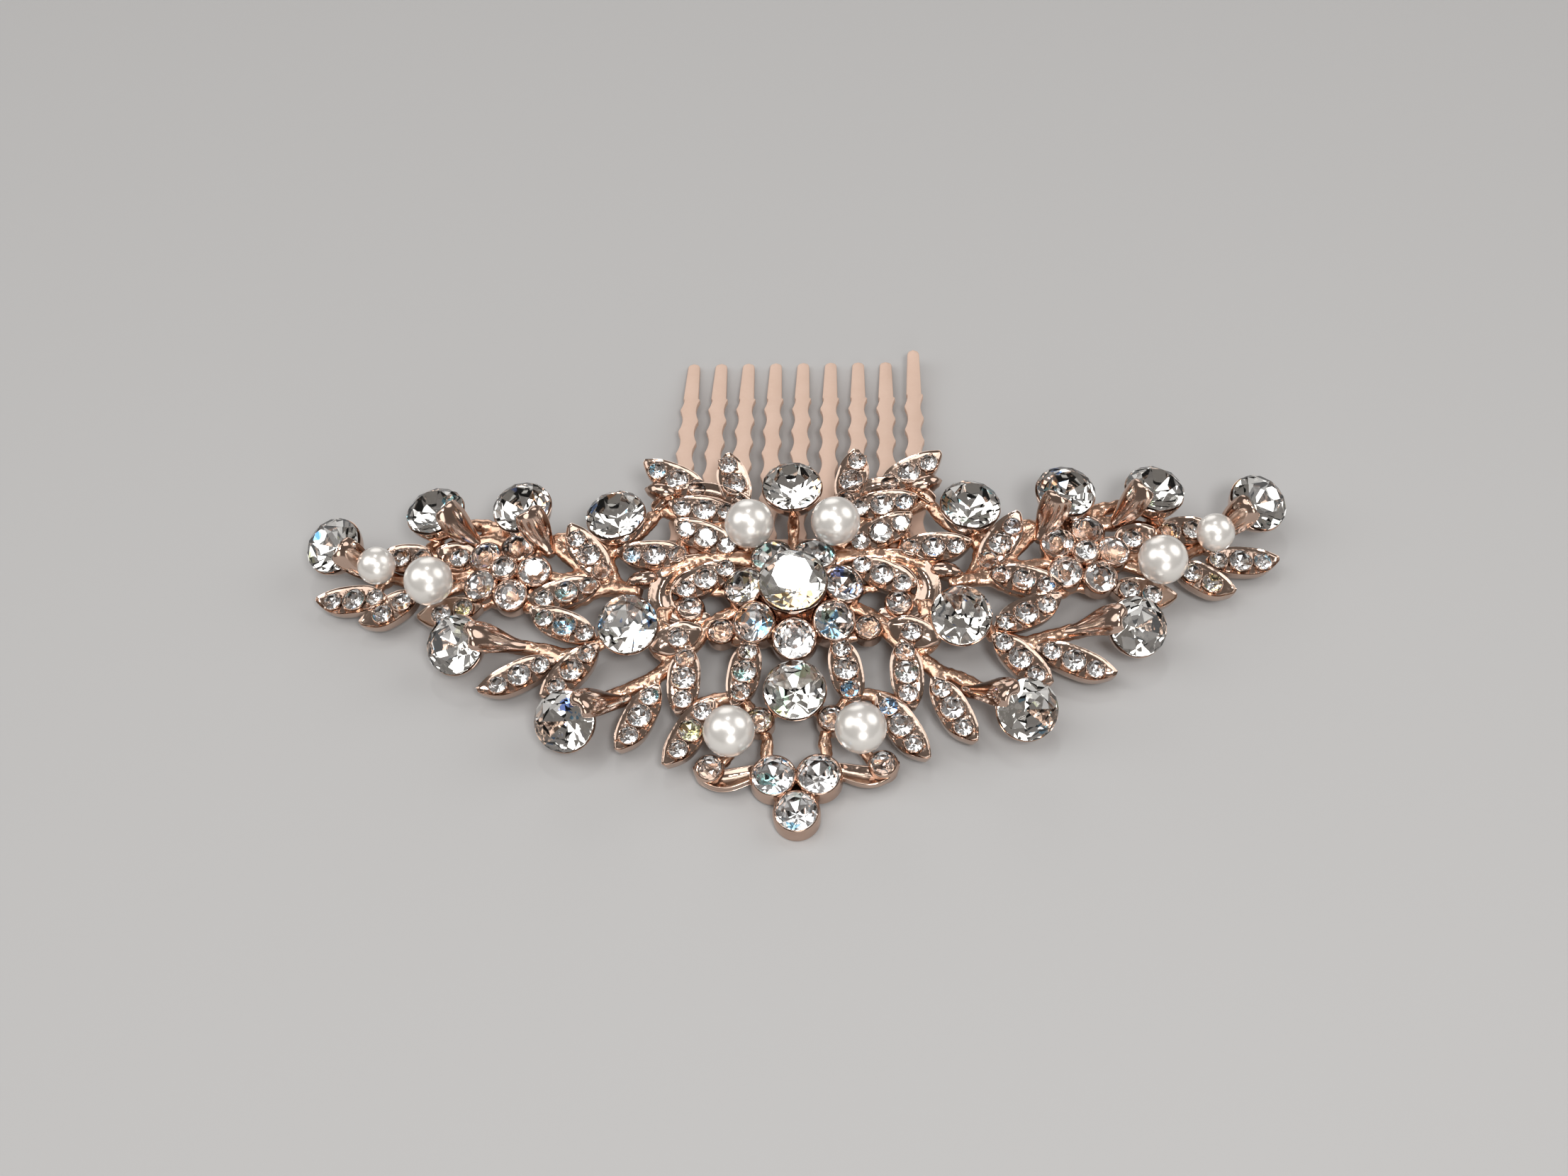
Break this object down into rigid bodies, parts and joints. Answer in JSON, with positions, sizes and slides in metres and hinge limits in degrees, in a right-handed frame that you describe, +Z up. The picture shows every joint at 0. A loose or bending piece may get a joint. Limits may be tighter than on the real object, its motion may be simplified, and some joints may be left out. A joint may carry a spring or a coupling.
{
  "type": "tiara comb",
  "caption": "Hair comb with a cast spray of leaves, buds and flowers, set with cut stones and pearls, soldered to a comb of long pointed teeth.",
  "frame": {"origin": "on the surface that the comb lies on, in the middle of the whole object's width and depth", "axes": "+X along the spray, from its left wing to its right one; +Y from the front tip of the spray to the ends of the comb's teeth; +Z up from the surface"},
  "size_m": [0.1214, 0.0752, 0.0134],
  "materials": {
    "rose_gold": "polished rose gold plate",
    "cut_stone": "faceted clear glass with a foiled back",
    "pearl": "pearl lustre"
  },
  "bodies": {
    "root": {"casting": "rose_gold", "stone_centre": "cut_stone", "stone_top": "cut_stone", "stone_below": "cut_stone", "bud_stone_left_1": "cut_stone", "bud_stone_left_2": "cut_stone", "bud_stone_left_3": "cut_stone", "bud_stone_left_4": "cut_stone", "bud_stone_left_5": "cut_stone", "bud_stone_left_6": "cut_stone", "bud_stone_left_7": "cut_stone", "bud_stone_right_1": "cut_stone", "bud_stone_right_2": "cut_stone", "bud_stone_right_3": "cut_stone", "bud_stone_right_4": "cut_stone", "bud_stone_right_5": "cut_stone", "bud_stone_right_6": "cut_stone", "bud_stone_right_7": "cut_stone", "petal_stone_1": "cut_stone", "petal_stone_2": "cut_stone", "petal_stone_3": "cut_stone", "petal_stone_4": "cut_stone", "petal_stone_5": "cut_stone", "petal_stone_6": "cut_stone", "petal_stone_7": "cut_stone", "front_stone_left": "cut_stone", "front_stone_right": "cut_stone", "front_stone_tip": "cut_stone", "pearl_back_left": "pearl", "pearl_outer_left": "pearl", "pearl_small_left": "pearl", "pearl_front_left": "pearl", "pearl_back_right": "pearl", "pearl_outer_right": "pearl", "pearl_small_right": "pearl", "pearl_front_right": "pearl", "side_flower_stones_left": "cut_stone", "side_flower_stones_right": "cut_stone", "leaf_stones_left": "cut_stone", "leaf_stones_right": "cut_stone"}
  },
  "joints": []
}
